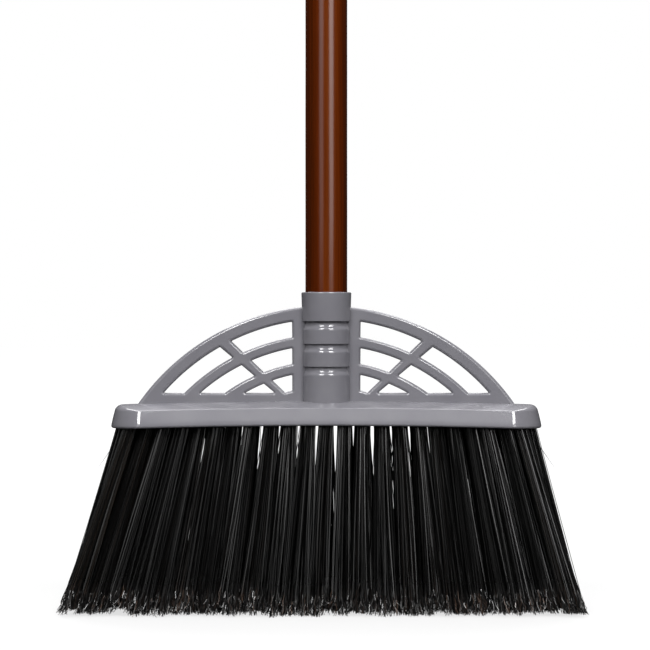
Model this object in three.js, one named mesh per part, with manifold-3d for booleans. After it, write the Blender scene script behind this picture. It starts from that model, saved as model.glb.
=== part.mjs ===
// A household broom: a long round handle screws into a moulded head that has a fan-shaped
// lattice, and four rows of stiff tufts flare out below the head and stand on the floor.
//
// Units are millimetres and +Z is up. The origin is on the floor, on the handle's axis. X runs
// along the head, and the front of the broom faces -Y.

import * as THREE from "three";
import { mergeVertices } from "three/addons/utils/BufferGeometryUtils.js";
import Module from "manifold-3d";

// Fits between pieces
const SEAT_GAP = 0.3; // between pieces that sit on or in each other
const SLIDE_GAP = 0.3; // between the handle and the seat that guides it, on the radius
const FILM_GAP = 0.15; // between the handle's film and its core, on the radius
const THREAD_GAP = 0.4; // all round the thread's ridge

// Handle: a wooden core in a shrunk film, with a screw tip below and a hanger cap on top
const HANDLE_DIAMETER = 22;
const HANDLE_LENGTH = 1200;
const FILM_WALL = 0.35;
const CORE_SPIGOT_DIAMETER = 12.4;
const CORE_SPIGOT_LENGTH = 24;

// Screw tip
const TIP_FLANGE = 2;
const TIP_LENGTH = 35;
const THREAD_ROOT_DIAMETER = 16;
const THREAD_RIDGE = 1.3;
const THREAD_PITCH = 5;
const THREAD_START = 3; // plain stretch under the flange
const THREAD_END = 2; // plain stretch above the tip's end

// Hanger cap
const CAP_WALL = 1.5;
const CAP_DEPTH = 24;
const CAP_ROOF = 3;
const CAP_DOME = 7;
const TONGUE_WIDTH = 18;
const TONGUE_THICKNESS = 7;
const TONGUE_HEIGHT = 26; // from the roof to its round end
const HANGING_HOLE_DIAMETER = 10;

// Head block: a cover with drafted walls and a domed top, arched along its length
const BLOCK_LENGTH = 226.2;
const BLOCK_DEPTH = 50;
const BLOCK_CORNER = 16;
const BLOCK_HEIGHT = 12; // at the middle of the head
const BLOCK_ARCH = 2; // rise of the middle over the ends
const BLOCK_DOME = 4.3; // fall of the top from its middle line to its long edges
const BLOCK_DRAFT = 0.19; // lean of the walls, per millimetre of height
const BLOCK_TOP_FILLET = 2.4;
const BLOCK_LIP = 0.8; // rounding of the lower edge
const COVER_WALL = 1.6;
const POCKET_HEIGHT = 7; // hollow of the cover that takes the tuft block
const TUFT_BLOCK_RECESS = 0.8; // from the cover's lip up to the tuft block
const TUFT_BLOCK_WEB = 1.6; // left over the slots of the tuft block

// Socket
const SOCKET_HEIGHT = 56.8;
const SOCKET_FOOT = 2.4; // how deep the socket and the fan run into the block's roof
const HANDLE_SEAT_DEPTH = 12;
const COLLAR_WALL = 1.8;
const COLLAR_HEIGHT = 15.2;
const COLLAR_TAPER = 0.5;
const MOUTH_CHAMFER = 0.5;
const BARREL_WALL = 2.3;
const BORE_SPARE = 2; // left under the screw tip
const GROOVE_COUNT = 3;
const GROOVE_PITCH = 11.85;
const GROOVE_HEIGHT = 4.2;
const GROOVE_FLOOR = 2.6; // height of its upright part, under which it slopes out
const GROOVE_DEPTH = 1.1;

// Fan lattice: concentric ribs crossed by a slanting rib on each side
const FAN_RADIUS = 120.2;
const FAN_RISE = 49.9; // of the fan's top over the block
const FAN_THICKNESS = 4;
const RIM_WIDTH = 7.1;
const RIB_WIDTH = 5.8;
const WINDOW_WIDTH = 7.9; // between two ribs
const WINDOW_RINGS = 3;
const POST_WIDTH = 5.6; // upright beside the socket
const RAIL_HEIGHT = 4.2; // rail along the block
const BRACE_ANGLE = 41.8; // of the slanting rib over the rail, in degrees
const BRACE_OFFSET = 1.6; // from the post to the slanting rib's foot
const BRACE_FOOT_WIDTH = 3.3;
const BRACE_TAPER = 0.068; // growth of its width, per millimetre of length

// Tufts
const TUFT_ROWS = 4;
const TUFTS_IN_ROW = 23;
const TUFT_END_MARGIN = 7.2; // from the block's end to the middle of the last tuft
const TUFT_SIDE_MARGIN = 10.3; // from the block's side to the middle of the outer row
const TUFT_DIAMETER = 6.6;
const BRISTLE_LENGTH = 95.3; // from the floor to the block's lip, at its ends
const SWEEP_WIDTH = 279;
const SWEEP_DEPTH = 60;
const ROOT_DEPTH = 5; // of the tufts in the tuft block
const ROOT_STRIP_MARGIN = 3.2; // from the last tuft's middle to the end of its row's root strip
const STRAND_ROOT_RADIUS = 1;
const STRAND_TIP_RADIUS = 2.1;
const STRAND_ROOT_SPREAD = 0.75; // how much of a tuft's root its strands' middles take up

// Facets
const ROUND_SIDES = 32;
const FAN_SIDES = 36;
const ARCH_STEPS = 16;
const CORNER_STEPS = 5;
const FILLET_STEPS = 3;
const DOME_STEPS = 3;
const TURN_STEPS = 16;
const RIDGE_SIDES = 6;
const MERGE_DISTANCE = 1e-4;
const SPINE = 0.4; // half width of the block's last, narrowest ring
const PAST = 1; // how far a cutter runs past the face that it opens

// Sizes that follow from the ones above
const handleRadius = HANDLE_DIAMETER / 2;
const filmInnerRadius = handleRadius - FILM_WALL;
const coreRadius = filmInnerRadius - FILM_GAP;
const spigotRadius = CORE_SPIGOT_DIAMETER / 2;
const threadRootRadius = THREAD_ROOT_DIAMETER / 2;
const boreRadius = threadRootRadius + THREAD_GAP;
const ridgeCutRadius = (THREAD_RIDGE + THREAD_GAP) / Math.cos(Math.PI / RIDGE_SIDES);
const seatRadius = handleRadius + SLIDE_GAP;
const collarRadius = seatRadius + COLLAR_WALL;
const barrelRadius = threadRootRadius + ridgeCutRadius + BARREL_WALL;
const threadLength = TIP_LENGTH - THREAD_START - THREAD_END;
const crown = BLOCK_ARCH + BLOCK_HEIGHT; // height of the block's middle over its lip's ends
const socketTop = crown + SOCKET_HEIGHT;
const shoulder = socketTop - HANDLE_SEAT_DEPTH;
const foot = crown - SOCKET_FOOT;
const postHalf = barrelRadius + POST_WIDTH;
const fanCentre = crown + FAN_RISE - FAN_RADIUS;
const rowPitch = (BLOCK_DEPTH - 2 * TUFT_SIDE_MARGIN) / (TUFT_ROWS - 1);
const tipPitch = SWEEP_WIDTH / TUFTS_IN_ROW;
const tipRowPitch = SWEEP_DEPTH / TUFT_ROWS;

const wasm = await Module();
wasm.setup();

const greyPlastic = new THREE.MeshStandardMaterial({ color: 0x7f7e83, roughness: 0.35, metalness: 0 });
const darkPlastic = new THREE.MeshStandardMaterial({ color: 0x2a2a2c, roughness: 0.5, metalness: 0 });
const blackBristle = new THREE.MeshStandardMaterial({ color: 0x141414, roughness: 0.45, metalness: 0 });
const brownFilm = new THREE.MeshStandardMaterial({ color: 0x5a2a17, roughness: 0.25, metalness: 0 });
const bareWood = new THREE.MeshStandardMaterial({ color: 0xc9a877, roughness: 0.7, metalness: 0 });

// Solids

// A closed geometry as a solid: shared vertices merged, collapsed triangles dropped, faces out.
function solidOf(geometry) {
  const bare = new THREE.BufferGeometry().setAttribute("position", geometry.getAttribute("position"));
  bare.setIndex(geometry.index);
  const merged = mergeVertices(bare, MERGE_DISTANCE);
  const at = merged.getAttribute("position");
  const corner = (i) => new THREE.Vector3().fromBufferAttribute(at, i);
  const triangles = [];
  let volume = 0;
  for (let i = 0; i < merged.index.count; i += 3) {
    const [a, b, c] = [0, 1, 2].map((k) => merged.index.getX(i + k));
    if (a === b || b === c || c === a) continue;
    triangles.push([a, b, c]);
    volume += corner(a).dot(corner(b).cross(corner(c)));
  }
  const facing = volume < 0 ? triangles.map(([a, b, c]) => [a, c, b]) : triangles;
  return new wasm.Manifold(
    new wasm.Mesh({ numProp: 3, vertProperties: at.array, triVerts: Uint32Array.from(facing.flat()) }),
  );
}

function meshOf(name, solid, material) {
  const { vertProperties, triVerts } = solid.getMesh();
  const geometry = new THREE.BufferGeometry();
  geometry.setAttribute("position", new THREE.BufferAttribute(vertProperties, 3));
  geometry.setIndex(new THREE.BufferAttribute(triVerts, 1));
  geometry.computeVertexNormals();
  const mesh = new THREE.Mesh(geometry, material);
  mesh.name = name;
  return mesh;
}

// A round solid about Z from [radius, height] points.
function turned(points) {
  const profile = points.map(([radius, height]) => new THREE.Vector2(radius, height));
  return solidOf(new THREE.LatheGeometry(profile, ROUND_SIDES).rotateX(Math.PI / 2));
}

// A shape drawn in X and Z, given a thickness along Y about y.
function plate(shape, thickness, y = 0, curveSegments = FAN_SIDES) {
  const geometry = new THREE.ExtrudeGeometry(shape, { depth: thickness, bevelEnabled: false, curveSegments });
  return solidOf(geometry.rotateX(Math.PI / 2).translate(0, y + thickness / 2, 0));
}

function polygon(points) {
  return new THREE.Shape(points.map(([x, z]) => new THREE.Vector2(x, z)));
}

// A closed skin over rings of as many points each, from the lowest ring to the highest. The rings
// are the same front and back, so rungs between their two sides close the ends along the arch.
function loft(rings) {
  const count = rings[0].length;
  const index = [];
  for (let r = 0; r + 1 < rings.length; r++) {
    for (let i = 0; i < count; i++) {
      const [a, b] = [r * count + i, r * count + ((i + 1) % count)];
      index.push(a, b, b + count, a, b + count, a + count);
    }
  }
  const last = (rings.length - 1) * count;
  for (let i = 0; i + 1 < count / 2; i++) {
    const [a, b, c, d] = [i, i + 1, count - 2 - i, count - 1 - i];
    index.push(c, b, a, d, c, a);
    index.push(last + a, last + b, last + c, last + a, last + c, last + d);
  }
  const geometry = new THREE.BufferGeometry().setFromPoints(rings.flat());
  return solidOf(geometry.setIndex(index));
}

// Head block, with heights over the lip's ends

function archAt(x) {
  return BLOCK_ARCH * (1 - (x / (BLOCK_LENGTH / 2)) ** 2);
}

function topAt(x, y) {
  return archAt(x) + BLOCK_HEIGHT - BLOCK_DOME * (y / (BLOCK_DEPTH / 2)) ** 2;
}

// The block's outline seen from above, drawn in by inset, with heightAt(x, y) for each point.
function blockRing(inset, heightAt) {
  const radius = Math.max(BLOCK_CORNER - inset, SPINE / 2);
  const [farX, farY] = [BLOCK_LENGTH / 2 - inset - radius, BLOCK_DEPTH / 2 - inset - radius];
  const ring = [];
  [[1, 1], [-1, 1], [-1, -1], [1, -1]].forEach(([sideX, sideY], quarter) => {
    for (let i = 0; i <= CORNER_STEPS; i++) {
      const angle = ((quarter + i / CORNER_STEPS) * Math.PI) / 2;
      ring.push([sideX * farX + radius * Math.cos(angle), sideY * farY + radius * Math.sin(angle)]);
    }
    if (quarter % 2 === 1) return;
    for (let i = 1; i < ARCH_STEPS; i++) {
      ring.push([sideX * farX * (1 - (2 * i) / ARCH_STEPS), sideY * (farY + radius)]);
    }
  });
  return ring.map(([x, y]) => new THREE.Vector3(x, y, heightAt(x, y)));
}

// A drafted plug inside the block: from low to high over the arch, wall inside the cover's skin.
function blockPlug(wall, low, high) {
  return loft([low, high].map((height) => blockRing(wall + BLOCK_DRAFT * height, (x) => archAt(x) + height)));
}

function coverBlock() {
  const wallTop = BLOCK_HEIGHT - BLOCK_DOME - BLOCK_TOP_FILLET;
  const leanIn = BLOCK_DRAFT * wallTop;
  const rings = [
    blockRing(BLOCK_LIP, archAt),
    blockRing(BLOCK_LIP / 4, (x) => archAt(x) + BLOCK_LIP / 4),
    blockRing(0, (x) => archAt(x) + BLOCK_LIP),
  ];
  for (let i = 0; i <= FILLET_STEPS; i++) {
    const angle = ((i / FILLET_STEPS) * Math.PI) / 2;
    const inset = leanIn + BLOCK_TOP_FILLET * (1 - Math.cos(angle));
    rings.push(blockRing(inset, (x, y) => topAt(x, y) - BLOCK_TOP_FILLET * (1 - Math.sin(angle))));
  }
  const filletInset = leanIn + BLOCK_TOP_FILLET;
  const spineInset = BLOCK_DEPTH / 2 - SPINE;
  for (let i = 1; i <= DOME_STEPS; i++) {
    rings.push(blockRing(filletInset + (spineInset - filletInset) * (i / DOME_STEPS), topAt));
  }
  return loft(rings);
}

// A bar that follows the arch along X, from low to high over it.
function archedBar(halfLength, low, high, width, y) {
  const bend = 2 * archAt(0) - archAt(halfLength);
  const end = archAt(halfLength);
  const shape = new THREE.Shape();
  shape.moveTo(-halfLength, end + low);
  shape.quadraticCurveTo(0, bend + low, halfLength, end + low);
  shape.lineTo(halfLength, end + high);
  shape.quadraticCurveTo(0, bend + high, -halfLength, end + high);
  return plate(shape, width, y, ARCH_STEPS);
}

// Socket and screw thread

class Helix extends THREE.Curve {
  constructor(radius, pitch, from, to) {
    super();
    Object.assign(this, { radius, pitch, from, to });
  }
  getPoint(t) {
    const height = this.from + (this.to - this.from) * t;
    const angle = (height / this.pitch) * 2 * Math.PI;
    return new THREE.Vector3(this.radius * Math.cos(angle), this.radius * Math.sin(angle), height);
  }
}

// A right-hand thread ridge between two heights under the shoulder, which is height 0.
function threadRidge(ridgeRadius, from, to) {
  const side = (i) => ((2 * i) / RIDGE_SIDES) * Math.PI;
  const section = polygon(
    Array.from({ length: RIDGE_SIDES }, (_, i) => [ridgeRadius * Math.cos(side(i)), ridgeRadius * Math.sin(side(i))]),
  );
  const extrudePath = new Helix(threadRootRadius, THREAD_PITCH, from, to);
  const steps = Math.ceil((TURN_STEPS * (to - from)) / THREAD_PITCH);
  return solidOf(new THREE.ExtrudeGeometry(section, { extrudePath, steps, bevelEnabled: false }));
}

function socketBarrel() {
  const profile = [[0, foot], [barrelRadius, foot]];
  for (let i = GROOVE_COUNT - 1; i >= 0; i--) {
    const top = socketTop - COLLAR_HEIGHT - i * GROOVE_PITCH;
    const outside = i === 0 ? collarRadius - COLLAR_TAPER : barrelRadius;
    const root = barrelRadius - GROOVE_DEPTH;
    profile.push([barrelRadius, top - GROOVE_HEIGHT], [root, top - GROOVE_FLOOR], [root, top], [outside, top]);
  }
  profile.push([collarRadius, socketTop - MOUTH_CHAMFER], [collarRadius - MOUTH_CHAMFER, socketTop], [0, socketTop]);
  return turned(profile);
}

// The hollow of the socket: a plain seat for the handle over a threaded bore.
function socketHollow() {
  const seatFloor = shoulder - SEAT_GAP;
  const boreFloor = seatFloor - TIP_LENGTH - BORE_SPARE;
  const hollow = turned([
    [0, boreFloor],
    [boreRadius, boreFloor],
    [boreRadius, seatFloor],
    [seatRadius, seatFloor],
    [seatRadius, socketTop + PAST],
    [0, socketTop + PAST],
  ]);
  const past = THREAD_PITCH / 2;
  const groove = threadRidge(ridgeCutRadius, THREAD_END - TIP_LENGTH - THREAD_GAP - past / 2, past);
  return hollow.add(groove.translate([0, 0, shoulder]));
}

// Fan lattice

function ringBand(outer, inner) {
  const band = new THREE.Shape().absarc(0, fanCentre, outer, 0, Math.PI, false);
  band.lineTo(-inner, fanCentre);
  band.absarc(0, fanCentre, inner, Math.PI, 0, true);
  return band;
}

// The slanting rib of one side, which widens from its foot to past the rim.
function brace(side) {
  const footX = postHalf + BRACE_OFFSET;
  const length = FAN_RADIUS;
  const angle = THREE.MathUtils.degToRad(BRACE_ANGLE);
  const along = new THREE.Vector2(Math.cos(angle), Math.sin(angle));
  const across = new THREE.Vector2(-along.y, along.x);
  const corner = (far, hand) => {
    const half = (hand * (BRACE_FOOT_WIDTH + BRACE_TAPER * far)) / 2;
    return [side * (footX + along.x * far + across.x * half), crown + along.y * far + across.y * half];
  };
  return polygon([corner(0, -1), corner(length, -1), corner(length, 1), corner(0, 1)]);
}

function rectangle(left, right, low, high) {
  return polygon([[left, low], [right, low], [right, high], [left, high]]);
}

function fanLattice() {
  const thick = FAN_THICKNESS + 2 * PAST;
  const top = fanCentre + FAN_RADIUS + PAST;
  const disc = new THREE.Shape().absarc(0, fanCentre, FAN_RADIUS, 0, Math.PI, false);
  const overBlock = plate(rectangle(-FAN_RADIUS, FAN_RADIUS, foot, top), thick);
  let windows = null;
  for (let i = 0; i < WINDOW_RINGS; i++) {
    const outer = FAN_RADIUS - RIM_WIDTH - i * (WINDOW_WIDTH + RIB_WIDTH);
    const band = plate(ringBand(outer, outer - WINDOW_WIDTH), thick);
    windows = windows ? windows.add(band) : band;
  }
  const post = plate(rectangle(-postHalf, postHalf, foot - PAST, top), thick + PAST);
  const rail = plate(rectangle(-FAN_RADIUS - PAST, FAN_RADIUS + PAST, -FAN_RADIUS, crown + RAIL_HEIGHT), thick + PAST);
  const braces = [-1, 1].map((side) => plate(brace(side), thick + PAST));
  const open = [post, rail, ...braces].reduce((left, solid) => left.subtract(solid), windows);
  return plate(disc, FAN_THICKNESS).intersect(overBlock).subtract(open);
}

// Head pieces

function headCover() {
  const pocket = blockPlug(COVER_WALL, -PAST, POCKET_HEIGHT);
  return coverBlock().add(socketBarrel()).add(fanLattice()).subtract(pocket).subtract(socketHollow());
}

function rowY(row) {
  return (row - (TUFT_ROWS - 1) / 2) * rowPitch;
}

// How far along X the middle of a row's last tuft stands: the block's round corners hold it in.
function rowReach(row) {
  const intoCorner = Math.abs(rowY(row)) + TUFT_DIAMETER / 2 - (BLOCK_DEPTH / 2 - BLOCK_CORNER);
  const roundOff = intoCorner > 0 ? BLOCK_CORNER - Math.sqrt(BLOCK_CORNER ** 2 - intoCorner ** 2) : 0;
  return BLOCK_LENGTH / 2 - roundOff - TUFT_END_MARGIN;
}

function tuftBlock() {
  const slotTop = POCKET_HEIGHT - SEAT_GAP - TUFT_BLOCK_WEB;
  let block = blockPlug(COVER_WALL + SEAT_GAP, TUFT_BLOCK_RECESS, POCKET_HEIGHT - SEAT_GAP);
  for (let row = 0; row < TUFT_ROWS; row++) {
    const slot = archedBar(BLOCK_LENGTH / 2, TUFT_BLOCK_RECESS - PAST, slotTop, TUFT_DIAMETER + 2 * SEAT_GAP, rowY(row));
    block = block.subtract(slot);
  }
  return block;
}

// One three-sided strand, from its root down to the floor, where it is cut flat.
function strandCorners(root, tip, turn) {
  const ring = (middle, radius) =>
    [0, 1, 2].map((i) => {
      const angle = turn + (i * 2 * Math.PI) / 3;
      return new THREE.Vector3(radius * Math.cos(angle), radius * Math.sin(angle), 0).add(middle);
    });
  return [...ring(tip, STRAND_TIP_RADIUS), ...ring(root, STRAND_ROOT_RADIUS)];
}

const STRAND_FACES = [
  [2, 1, 0],
  [3, 4, 5],
  [0, 1, 4],
  [0, 4, 3],
  [1, 2, 5],
  [1, 5, 4],
  [2, 0, 3],
  [2, 3, 5],
].flat();

// Where the strands of one tuft stand, in parts of its width: each has a column and a row of its own.
const STRAND_PLACES = [[0, 0], [-0.4, 0.2], [-0.2, -0.4], [0.2, 0.4], [0.4, -0.2]];

// A row of tufts: strands fused to the strip of root plugs that the tuft block holds.
function tuftRow(row) {
  const rootFloor = TUFT_BLOCK_RECESS;
  const rootTop = Math.min(rootFloor + ROOT_DEPTH, POCKET_HEIGHT - 2 * SEAT_GAP - TUFT_BLOCK_WEB);
  const tuftPitch = (2 * rowReach(row)) / (TUFTS_IN_ROW - 1);
  const bar = archedBar(rowReach(row) + ROOT_STRIP_MARGIN, rootFloor, rootTop, TUFT_DIAMETER, rowY(row));
  const strip = bar.intersect(blockPlug(COVER_WALL + 2 * SEAT_GAP, 0, POCKET_HEIGHT));
  const corners = [];
  const index = [];
  for (let tuft = 0; tuft < TUFTS_IN_ROW; tuft++) {
    const step = tuft - (TUFTS_IN_ROW - 1) / 2;
    const x = step * tuftPitch;
    STRAND_PLACES.forEach(([offX, offY], strand) => {
      const rootHeight = archAt(x) + (rootFloor + rootTop) / 2;
      const rootWidth = STRAND_ROOT_SPREAD * TUFT_DIAMETER;
      const root = new THREE.Vector3(x + offX * rootWidth, rowY(row) + offY * rootWidth, rootHeight);
      const tipY = (rowY(row) / rowPitch + offY) * tipRowPitch;
      const tip = new THREE.Vector3((step + offX) * tipPitch, tipY, -BRISTLE_LENGTH);
      index.push(...STRAND_FACES.map((i) => i + corners.length));
      corners.push(...strandCorners(root, tip, (tuft + strand) * Math.PI));
    });
  }
  const strands = new THREE.BufferGeometry().setFromPoints(corners).setIndex(index);
  return strip.add(solidOf(strands));
}

function head() {
  const group = new THREE.Group();
  group.position.z = BRISTLE_LENGTH;
  group.add(meshOf("head_cover", headCover(), greyPlastic));
  group.add(meshOf("tuft_block", tuftBlock(), greyPlastic));
  for (let row = 0; row < TUFT_ROWS; row++) {
    group.add(meshOf(`tuft_row_${row + 1}`, tuftRow(row), blackBristle));
  }
  return group;
}

// Handle pieces, with heights over the socket's shoulder

function screwTip() {
  const bodyEnd = -TIP_LENGTH;
  const body = turned([
    [0, bodyEnd],
    [threadRootRadius - THREAD_END, bodyEnd],
    [threadRootRadius, bodyEnd + THREAD_END],
    [threadRootRadius, 0],
    [handleRadius, 0],
    [handleRadius, TIP_FLANGE],
    [0, TIP_FLANGE],
  ]);
  const ridge = threadRidge(THREAD_RIDGE, bodyEnd + THREAD_END, bodyEnd + THREAD_END + threadLength);
  const cup = spigotRadius + SEAT_GAP;
  const cupFloor = TIP_FLANGE + SEAT_GAP - CORE_SPIGOT_LENGTH - SEAT_GAP;
  const hollow = turned([[0, cupFloor], [cup, cupFloor], [cup, TIP_FLANGE + PAST], [0, TIP_FLANGE + PAST]]);
  return body.add(ridge).subtract(hollow);
}

function woodenCore() {
  const stickFoot = TIP_FLANGE + SEAT_GAP;
  const stickTop = stickFoot + HANDLE_LENGTH;
  return turned([
    [0, stickFoot - CORE_SPIGOT_LENGTH],
    [spigotRadius, stickFoot - CORE_SPIGOT_LENGTH],
    [spigotRadius, stickFoot],
    [coreRadius, stickFoot],
    [coreRadius, stickTop],
    [0, stickTop],
  ]);
}

function filmSleeve() {
  const low = TIP_FLANGE + SEAT_GAP;
  const high = low + HANDLE_LENGTH;
  return turned([
    [filmInnerRadius, low],
    [handleRadius, low],
    [handleRadius, high],
    [filmInnerRadius, high],
    [filmInnerRadius, low],
  ]);
}

function hangerCap() {
  const stickTop = TIP_FLANGE + SEAT_GAP + HANDLE_LENGTH;
  const inside = handleRadius + SLIDE_GAP;
  const outside = inside + CAP_WALL;
  const roof = stickTop + SEAT_GAP + CAP_ROOF;
  const skirt = stickTop - CAP_DEPTH;
  const dome = [];
  for (let i = 0; i <= CORNER_STEPS; i++) {
    const angle = ((i / CORNER_STEPS) * Math.PI) / 2;
    dome.push([outside * Math.cos(angle), roof + CAP_DOME * Math.sin(angle)]);
  }
  const shell = turned([[0, skirt], [outside, skirt], ...dome.slice(0, -1), [0, roof + CAP_DOME]]);
  const hole = roof + TONGUE_HEIGHT - TONGUE_WIDTH / 2;
  const outline = new THREE.Shape().moveTo(TONGUE_WIDTH / 2, roof);
  outline.lineTo(TONGUE_WIDTH / 2, hole);
  outline.absarc(0, hole, TONGUE_WIDTH / 2, 0, Math.PI, false);
  outline.lineTo(-TONGUE_WIDTH / 2, roof);
  outline.holes.push(new THREE.Path().absarc(0, hole, HANGING_HOLE_DIAMETER / 2, 0, 2 * Math.PI, true));
  const tongue = plate(outline, TONGUE_THICKNESS, 0, ROUND_SIDES / 2);
  const cup = turned([
    [0, skirt - PAST],
    [inside, skirt - PAST],
    [inside, stickTop + SEAT_GAP],
    [0, stickTop + SEAT_GAP],
  ]);
  return shell.add(tongue).subtract(cup);
}

function handle() {
  const group = new THREE.Group();
  group.position.z = BRISTLE_LENGTH + shoulder;
  group.add(meshOf("screw_tip", screwTip(), darkPlastic));
  group.add(meshOf("wooden_core", woodenCore(), bareWood));
  group.add(meshOf("film_sleeve", filmSleeve(), brownFilm));
  group.add(meshOf("hanger_cap", hangerCap(), greyPlastic));
  return group;
}

const broom = new THREE.Group();
broom.add(head(), handle());

export default broom;
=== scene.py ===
# %% [markdown]
# # A household broom
# The broom has a moulded plastic head with a fan-shaped lattice, about ninety tufts of black
# filament, and a wooden stick in a glossy film that screws into the head. The CAD model gives the
# bodies and their places. Here each of its solids gets a finer skin and a real material, and
# every new piece rides on the body that its solid belongs to.

# %% Load the frame
import math
import random

import bmesh
import bpy
from mathutils import Matrix, Vector, noise


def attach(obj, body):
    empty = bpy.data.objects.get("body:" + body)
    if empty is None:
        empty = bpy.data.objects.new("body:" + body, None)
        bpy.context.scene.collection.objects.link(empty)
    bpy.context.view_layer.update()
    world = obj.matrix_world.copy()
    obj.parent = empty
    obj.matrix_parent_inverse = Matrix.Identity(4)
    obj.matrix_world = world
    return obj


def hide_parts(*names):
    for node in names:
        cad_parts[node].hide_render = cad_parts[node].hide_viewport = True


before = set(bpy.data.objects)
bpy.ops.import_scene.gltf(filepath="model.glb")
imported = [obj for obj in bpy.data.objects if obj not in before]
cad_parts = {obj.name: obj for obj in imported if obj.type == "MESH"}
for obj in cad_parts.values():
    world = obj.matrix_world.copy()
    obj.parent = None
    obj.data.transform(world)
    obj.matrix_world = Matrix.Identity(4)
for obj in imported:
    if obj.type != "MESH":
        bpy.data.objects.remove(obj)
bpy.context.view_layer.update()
scene = bpy.context.scene

# %% [markdown]
# ## Working in millimetres
# A maker thinks of a broom in millimetres and Blender works in metres. Every blank below is drawn
# in millimetres over the floor, and is scaled once, when it is fitted to its body. Fitting also
# smooths the shading, keeps the sharp edges sharp, and lets large faces decide the shading of
# their edges, so that flat plastic looks flat. Then it hides the CAD solid that the piece stands
# for. Baking turns a piece's modifiers into plain mesh.

# %% Blanks and fitted pieces
MM = 0.001
SHARP_ANGLE = math.radians(38)


def blank(name, points, faces):
    mesh = bpy.data.meshes.new(name)
    mesh.from_pydata(points, [], faces)
    made = bpy.data.objects.new(name, mesh)
    scene.collection.objects.link(made)
    return made


def bake(piece):
    piece.data.update()
    graph = bpy.context.evaluated_depsgraph_get()
    changed = piece.evaluated_get(graph)
    mesh = bpy.data.meshes.new_from_object(changed, preserve_all_data_layers=True, depsgraph=graph)
    piece.modifiers.clear()
    piece.data = mesh


def fit(piece, material, body, node, even=True):
    piece.data.materials.clear()
    piece.data.materials.append(material)
    piece.data.transform(Matrix.Scale(MM, 4))
    piece.data.shade_smooth()
    piece.data.set_sharp_from_angle(angle=SHARP_ANGLE)
    if even:
        piece.modifiers.new("even", "WEIGHTED_NORMAL").keep_sharp = True
        bake(piece)
    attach(piece, body)
    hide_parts(node)
    size = [round(side / MM, 1) for side in piece.dimensions]
    print(f"{piece.name}: {len(piece.data.polygons)} faces, {size} mm, rides on {body}")
    return piece


# %% [markdown]
# ## Node materials
# All the materials are built from the same three helpers. One turns the sRGB hex value of a
# colour into the linear colour that the shader wants, one turns the size of a grain in
# millimetres into a texture scale, and one adds a node with its settings and its links.

# %% Helpers for materials
def srgb(value):
    parts = [int(value[i:i + 2], 16) / 255 for i in (1, 3, 5)]
    linear = [p / 12.92 if p <= 0.04045 else ((p + 0.055) / 1.055) ** 2.4 for p in parts]
    return (*linear, 1)


def scale_for(size):
    return 1 / (size * MM)


def add_node(tree, kind, settings=None, links=None):
    made = tree.nodes.new(kind)
    for name, value in (settings or {}).items():
        if name == "stops":
            ramp = made.color_ramp.elements
            while len(ramp) < len(value):
                ramp.new(1)
            for stop, (place, colour) in zip(ramp, value):
                stop.position = place
                stop.color = colour
        elif isinstance(name, int) or name in made.inputs:
            made.inputs[name].default_value = value
        else:
            setattr(made, name, value)
    for name, source in (links or {}).items():
        tree.links.new(source, made.inputs[name])
    return made


def new_material(name):
    material = bpy.data.materials.new(name)
    material.use_nodes = True
    return material, material.node_tree, material.node_tree.nodes["Principled BSDF"]


# %% [markdown]
# ## Camera
# The picture is taken square on to the head, from about a metre away with a long lens, at half
# the height of what it shows. The handle runs out of the frame at the top. A long lens keeps the
# block and the bristle tips, which stand at different depths, in nearly the same scale.

# %% Camera
CAMERA_DISTANCE = 1050
CAMERA_HEIGHT = 149
CAMERA_SIDE = -0.7
CAMERA_LENS = 111
SENSOR_WIDTH = 36

camera = bpy.data.objects.new("camera", bpy.data.cameras.new("camera"))
camera.data.lens = CAMERA_LENS
camera.data.sensor_width = SENSOR_WIDTH
camera.location = Vector((CAMERA_SIDE, -CAMERA_DISTANCE, CAMERA_HEIGHT)) * MM
camera.rotation_euler = (math.radians(90), 0, 0)
scene.collection.objects.link(camera)
scene.camera = camera
scene.view_settings.view_transform = "Standard"
seen_width = SENSOR_WIDTH / CAMERA_LENS * CAMERA_DISTANCE
print(f"the frame is {seen_width:.0f} mm wide at the handle")

# %% [markdown]
# ## White room
# A white sweep would light the plastic from all round and wash out its dark edges. So the room is
# dim for the light that falls on the broom, and white for rays that look straight at it, or
# through glass. Reflections see a little of that white. The floor works the same way. To the eye
# it is grey paint with a white glow. The glow is weaker near the broom, where the lamps make up
# the rest of the white, and so the broom's shadow shows there. Other rays meet a dull coat, which
# sends little light back up.

# %% Room and floor
ROOM_LIGHT = 0.01
GLOSS_SHARE = 0.01
WHITE = srgb("#FFFFFF")


def seen_by_eye(tree):
    rays = add_node(tree, "ShaderNodeLightPath")
    straight = add_node(tree, "ShaderNodeMath", {"operation": "MAXIMUM"})
    tree.links.new(rays.outputs["Is Camera Ray"], straight.inputs[0])
    tree.links.new(rays.outputs["Is Transmission Ray"], straight.inputs[1])
    mirrored = add_node(tree, "ShaderNodeMath", {"operation": "MULTIPLY_ADD"})
    tree.links.new(rays.outputs["Is Glossy Ray"], mirrored.inputs[0])
    mirrored.inputs[1].default_value = GLOSS_SHARE
    tree.links.new(straight.outputs[0], mirrored.inputs[2])
    return mirrored.outputs[0]


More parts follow.
